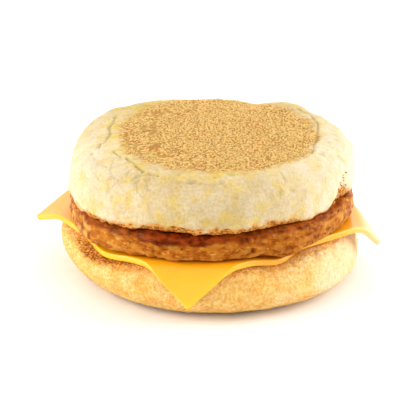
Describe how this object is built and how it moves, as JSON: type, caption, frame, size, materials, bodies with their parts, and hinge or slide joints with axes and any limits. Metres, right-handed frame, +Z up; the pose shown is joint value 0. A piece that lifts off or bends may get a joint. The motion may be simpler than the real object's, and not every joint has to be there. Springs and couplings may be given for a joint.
{
  "type": "english muffin sandwich",
  "caption": "Griddled English muffin split in two round a slice of cheese and a sausage patty, standing flat on its base.",
  "frame": {"origin": "on the surface that the sandwich stands on, under the middle of the muffin heel", "axes": "+Z up out of the muffin's griddled top, +X to the right and -Y towards the viewer of the picture, where a cheese corner hangs down"},
  "size_m": [0.1168, 0.1098, 0.0482],
  "materials": {
    "toasted_crust": "dry floury crust, toasted golden",
    "cheese": "soft satin, melted edges",
    "cooked_sausage": "seared meat with a thin film of fat",
    "pale_crust": "dry pale crust dusted with cornmeal"
  },
  "bodies": {
    "root": {"muffin_heel": "toasted_crust", "cheese_slice": "cheese", "sausage_patty": "cooked_sausage", "muffin_crown": "pale_crust"}
  },
  "joints": []
}
